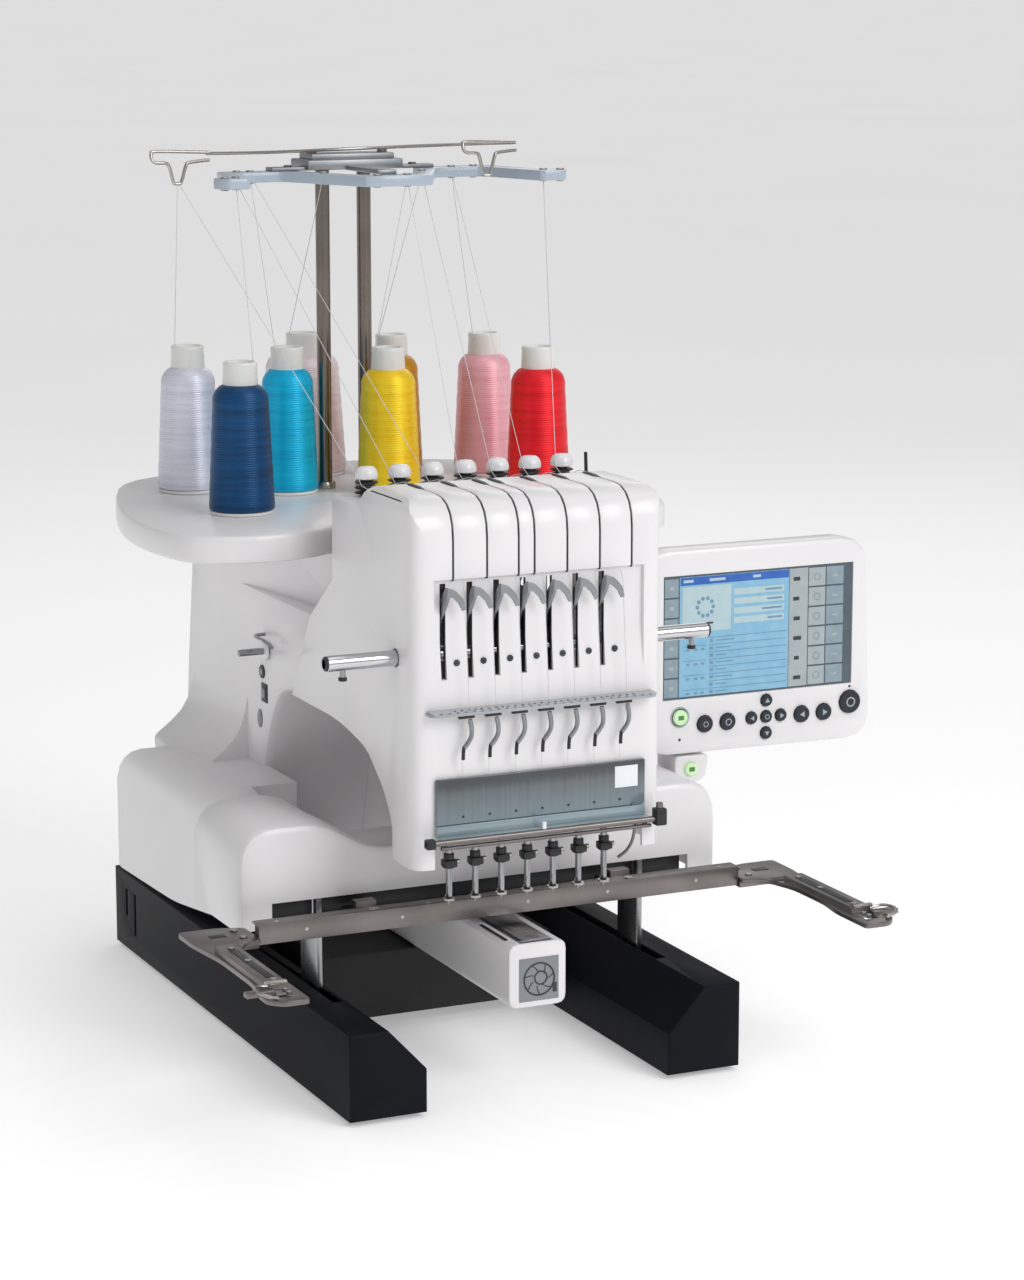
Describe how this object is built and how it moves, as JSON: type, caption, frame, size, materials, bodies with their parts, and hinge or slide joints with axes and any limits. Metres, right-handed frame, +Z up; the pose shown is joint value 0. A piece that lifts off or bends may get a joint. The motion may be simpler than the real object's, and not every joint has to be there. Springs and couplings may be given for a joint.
{
  "type": "multi-needle embroidery machine",
  "caption": "Free-arm multi-needle embroidery machine: sliding needle case, hoop carriage on two feet, tilting control panel, spool tray with thread cones under a thread guide stand.",
  "frame": {"origin": "bottom centre of the bounding box, at table height", "axes": "+X to the machine's right as the operator faces it from the front, +Y to its back, +Z up"},
  "size_m": [0.7088, 0.694, 0.7685],
  "materials": {
    "white_cover": "moulded gloss",
    "knob_plastic": "moulded gloss",
    "foot_plastic": "fine grain, dark navy",
    "cast_frame": "black painted casting",
    "rail_chrome": "polished",
    "nickel": "satin nickel plate",
    "steel": "satin",
    "grey_shield": "tinted translucent",
    "key_rubber": "soft touch",
    "lit_button": "translucent, lit from inside",
    "dark_blue_thread": "wound thread",
    "white_thread": "wound thread",
    "cyan_thread": "wound thread",
    "pale_pink_thread": "wound thread",
    "yellow_thread": "wound thread",
    "gold_thread": "wound thread",
    "pink_thread": "wound thread",
    "red_thread": "wound thread"
  },
  "bodies": {
    "machine_base": {"left_foot": "foot_plastic", "right_foot": "foot_plastic", "machine_frame": "cast_frame", "case_rail": "rail_chrome", "left_side_cover": "white_cover", "right_side_cover": "white_cover", "free_arm": "white_cover", "needle_plate": "steel", "spool_tray": "white_cover", "thread_stand": "steel", "panel_arm": "white_cover", "dark_blue_cone": "dark_blue_thread", "white_cone": "white_thread", "cyan_cone": "cyan_thread", "pale_pink_cone": "pale_pink_thread", "yellow_cone": "yellow_thread", "gold_cone": "gold_thread", "pink_cone": "pink_thread", "red_cone": "red_thread"},
    "bobbin_winder": {"bobbin_winder": "steel"},
    "rotary_hook": {"rotary_hook": "steel"},
    "hook_cover": {"hook_cover": "white_cover"},
    "y_carriage": {"carriage_cover": "white_cover", "carriage_frame": "steel"},
    "hoop_frame": {"hoop_bar": "nickel", "left_hoop_arm": "nickel", "right_hoop_arm": "nickel"},
    "needle_head": {"needle_case": "white_cover", "thread_holder": "grey_shield", "upper_thread_guide": "nickel"},
    "needle_bar_1": {"needle_bar_1": "steel"},
    "needle_bar_2": {"needle_bar_2": "steel"},
    "needle_bar_3": {"needle_bar_3": "steel"},
    "needle_bar_4": {"needle_bar_4": "steel"},
    "needle_bar_5": {"needle_bar_5": "steel"},
    "needle_bar_6": {"needle_bar_6": "steel"},
    "needle_bar_7": {"needle_bar_7": "steel"},
    "take_up_lever_1": {"take_up_lever_1": "steel"},
    "take_up_lever_2": {"take_up_lever_2": "steel"},
    "take_up_lever_3": {"take_up_lever_3": "steel"},
    "take_up_lever_4": {"take_up_lever_4": "steel"},
    "take_up_lever_5": {"take_up_lever_5": "steel"},
    "take_up_lever_6": {"take_up_lever_6": "steel"},
    "take_up_lever_7": {"take_up_lever_7": "steel"},
    "tension_knob_1": {"tension_knob_1": "knob_plastic"},
    "tension_knob_2": {"tension_knob_2": "knob_plastic"},
    "tension_knob_3": {"tension_knob_3": "knob_plastic"},
    "tension_knob_4": {"tension_knob_4": "knob_plastic"},
    "tension_knob_5": {"tension_knob_5": "knob_plastic"},
    "tension_knob_6": {"tension_knob_6": "knob_plastic"},
    "tension_knob_7": {"tension_knob_7": "knob_plastic"},
    "control_panel": {"panel_housing": "white_cover"},
    "panel_key_left": {"panel_key_left": "key_rubber"},
    "panel_key_check": {"panel_key_check": "key_rubber"},
    "panel_key_back": {"panel_key_back": "key_rubber"},
    "panel_key_next": {"panel_key_next": "key_rubber"},
    "panel_key_start": {"panel_key_start": "key_rubber"},
    "direction_pad": {"direction_pad": "key_rubber"},
    "start_stop_button": {"start_stop_button": "lit_button"},
    "thread_cut_button": {"thread_cut_button": "lit_button"}
  },
  "joints": [
    {"name": "carriage_slide", "type": "slide", "parent": "machine_base", "child": "y_carriage", "axis": [0, 1, 0], "range_m": [-0.018, 0.12]},
    {"name": "hoop_slide", "type": "slide", "parent": "y_carriage", "child": "hoop_frame", "axis": [1, 0, 0], "range_m": [-0.062, 0.062]},
    {"name": "needle_case_slide", "type": "slide", "parent": "machine_base", "child": "needle_head", "axis": [1, 0, 0], "range_m": [-0.0708, 0.0708]},
    {"name": "needle_bar_1_slide", "type": "slide", "parent": "needle_head", "child": "needle_bar_1", "axis": [0, 0, 1], "range_m": [-0.035, 0], "stiffness_N_per_m": 60, "springref_m": 0.02},
    {"name": "take_up_lever_1_pivot", "type": "hinge", "parent": "needle_head", "child": "take_up_lever_1", "pos_m": [-0.14924, -0.217, 0.397], "axis": [1, 0, 0], "range_deg": [0, 78]},
    {"name": "tension_knob_1_turn", "type": "hinge", "parent": "needle_head", "child": "tension_knob_1", "pos_m": [-0.15444, -0.089, 0.498], "axis": [0, 0, 1], "continuous": true},
    {"name": "needle_bar_2_slide", "type": "slide", "parent": "needle_head", "child": "needle_bar_2", "axis": [0, 0, 1], "range_m": [-0.035, 0], "stiffness_N_per_m": 60, "springref_m": 0.02},
    {"name": "take_up_lever_2_pivot", "type": "hinge", "parent": "needle_head", "child": "take_up_lever_2", "pos_m": [-0.12564, -0.217, 0.397], "axis": [1, 0, 0], "range_deg": [0, 78]},
    {"name": "tension_knob_2_turn", "type": "hinge", "parent": "needle_head", "child": "tension_knob_2", "pos_m": [-0.12444, -0.089, 0.498], "axis": [0, 0, 1], "continuous": true},
    {"name": "needle_bar_3_slide", "type": "slide", "parent": "needle_head", "child": "needle_bar_3", "axis": [0, 0, 1], "range_m": [-0.035, 0], "stiffness_N_per_m": 60, "springref_m": 0.02},
    {"name": "take_up_lever_3_pivot", "type": "hinge", "parent": "needle_head", "child": "take_up_lever_3", "pos_m": [-0.10204, -0.217, 0.397], "axis": [1, 0, 0], "range_deg": [0, 78]},
    {"name": "tension_knob_3_turn", "type": "hinge", "parent": "needle_head", "child": "tension_knob_3", "pos_m": [-0.09444, -0.089, 0.498], "axis": [0, 0, 1], "continuous": true},
    {"name": "needle_bar_4_slide", "type": "slide", "parent": "needle_head", "child": "needle_bar_4", "axis": [0, 0, 1], "range_m": [-0.035, 0], "stiffness_N_per_m": 60, "springref_m": 0.02},
    {"name": "take_up_lever_4_pivot", "type": "hinge", "parent": "needle_head", "child": "take_up_lever_4", "pos_m": [-0.07844, -0.217, 0.397], "axis": [1, 0, 0], "range_deg": [0, 78]},
    {"name": "tension_knob_4_turn", "type": "hinge", "parent": "needle_head", "child": "tension_knob_4", "pos_m": [-0.06444, -0.089, 0.498], "axis": [0, 0, 1], "continuous": true},
    {"name": "needle_bar_5_slide", "type": "slide", "parent": "needle_head", "child": "needle_bar_5", "axis": [0, 0, 1], "range_m": [-0.035, 0], "stiffness_N_per_m": 60, "springref_m": 0.02},
    {"name": "take_up_lever_5_pivot", "type": "hinge", "parent": "needle_head", "child": "take_up_lever_5", "pos_m": [-0.05484, -0.217, 0.397], "axis": [1, 0, 0], "range_deg": [0, 78]},
    {"name": "tension_knob_5_turn", "type": "hinge", "parent": "needle_head", "child": "tension_knob_5", "pos_m": [-0.03444, -0.089, 0.498], "axis": [0, 0, 1], "continuous": true},
    {"name": "needle_bar_6_slide", "type": "slide", "parent": "needle_head", "child": "needle_bar_6", "axis": [0, 0, 1], "range_m": [-0.035, 0], "stiffness_N_per_m": 60, "springref_m": 0.02},
    {"name": "take_up_lever_6_pivot", "type": "hinge", "parent": "needle_head", "child": "take_up_lever_6", "pos_m": [-0.03124, -0.217, 0.397], "axis": [1, 0, 0], "range_deg": [0, 78]},
    {"name": "tension_knob_6_turn", "type": "hinge", "parent": "needle_head", "child": "tension_knob_6", "pos_m": [-0.00444, -0.089, 0.498], "axis": [0, 0, 1], "continuous": true},
    {"name": "needle_bar_7_slide", "type": "slide", "parent": "needle_head", "child": "needle_bar_7", "axis": [0, 0, 1], "range_m": [-0.035, 0], "stiffness_N_per_m": 60, "springref_m": 0.02},
    {"name": "take_up_lever_7_pivot", "type": "hinge", "parent": "needle_head", "child": "take_up_lever_7", "pos_m": [-0.00764, -0.217, 0.397], "axis": [1, 0, 0], "range_deg": [0, 78]},
    {"name": "tension_knob_7_turn", "type": "hinge", "parent": "needle_head", "child": "tension_knob_7", "pos_m": [0.02556, -0.089, 0.498], "axis": [0, 0, 1], "continuous": true},
    {"name": "hook_turn", "type": "hinge", "parent": "machine_base", "child": "rotary_hook", "pos_m": [-0.06444, -0.212, 0.099], "axis": [0, 1, 0], "continuous": true},
    {"name": "hook_cover_hinge", "type": "hinge", "parent": "machine_base", "child": "hook_cover", "pos_m": [-0.06444, -0.233, 0.073], "axis": [1, 0, 0], "range_deg": [0, 95]},
    {"name": "winder_turn", "type": "hinge", "parent": "machine_base", "child": "bobbin_winder", "pos_m": [-0.16944, 0.109, 0.32], "axis": [1, 0, 0], "continuous": true},
    {"name": "panel_tilt", "type": "hinge", "parent": "machine_base", "child": "control_panel", "pos_m": [0.18756, -0.011, 0.3], "axis": [-1, 0, 0], "range_deg": [0, 25]},
    {"name": "panel_key_left_press", "type": "slide", "parent": "control_panel", "child": "panel_key_left", "axis": [0, 1, 0], "range_m": [0, 0.0015], "stiffness_N_per_m": 300, "springref_m": -0.001},
    {"name": "panel_key_check_press", "type": "slide", "parent": "control_panel", "child": "panel_key_check", "axis": [0, 1, 0], "range_m": [0, 0.0015], "stiffness_N_per_m": 300, "springref_m": -0.001},
    {"name": "panel_key_back_press", "type": "slide", "parent": "control_panel", "child": "panel_key_back", "axis": [0, 1, 0], "range_m": [0, 0.0015], "stiffness_N_per_m": 300, "springref_m": -0.001},
    {"name": "panel_key_next_press", "type": "slide", "parent": "control_panel", "child": "panel_key_next", "axis": [0, 1, 0], "range_m": [0, 0.0015], "stiffness_N_per_m": 300, "springref_m": -0.001},
    {"name": "panel_key_start_press", "type": "slide", "parent": "control_panel", "child": "panel_key_start", "axis": [0, 1, 0], "range_m": [0, 0.0015], "stiffness_N_per_m": 300, "springref_m": -0.001},
    {"name": "direction_pad_press", "type": "slide", "parent": "control_panel", "child": "direction_pad", "axis": [0, 1, 0], "range_m": [0, 0.0015], "stiffness_N_per_m": 300, "springref_m": -0.001},
    {"name": "start_stop_button_press", "type": "slide", "parent": "control_panel", "child": "start_stop_button", "axis": [0, 1, 0], "range_m": [0, 0.0015], "stiffness_N_per_m": 300, "springref_m": -0.001},
    {"name": "thread_cut_button_press", "type": "slide", "parent": "machine_base", "child": "thread_cut_button", "axis": [0, 1, 0], "range_m": [0, 0.0015], "stiffness_N_per_m": 300, "springref_m": -0.001}
  ],
  "couplings": [
    {"joint": "take_up_lever_1_pivot", "follows": "needle_bar_1_slide", "rad_per_m": -38.8},
    {"joint": "take_up_lever_2_pivot", "follows": "needle_bar_2_slide", "rad_per_m": -38.8},
    {"joint": "take_up_lever_3_pivot", "follows": "needle_bar_3_slide", "rad_per_m": -38.8},
    {"joint": "take_up_lever_4_pivot", "follows": "needle_bar_4_slide", "rad_per_m": -38.8},
    {"joint": "take_up_lever_5_pivot", "follows": "needle_bar_5_slide", "rad_per_m": -38.8},
    {"joint": "take_up_lever_6_pivot", "follows": "needle_bar_6_slide", "rad_per_m": -38.8},
    {"joint": "take_up_lever_7_pivot", "follows": "needle_bar_7_slide", "rad_per_m": -38.8}
  ]
}
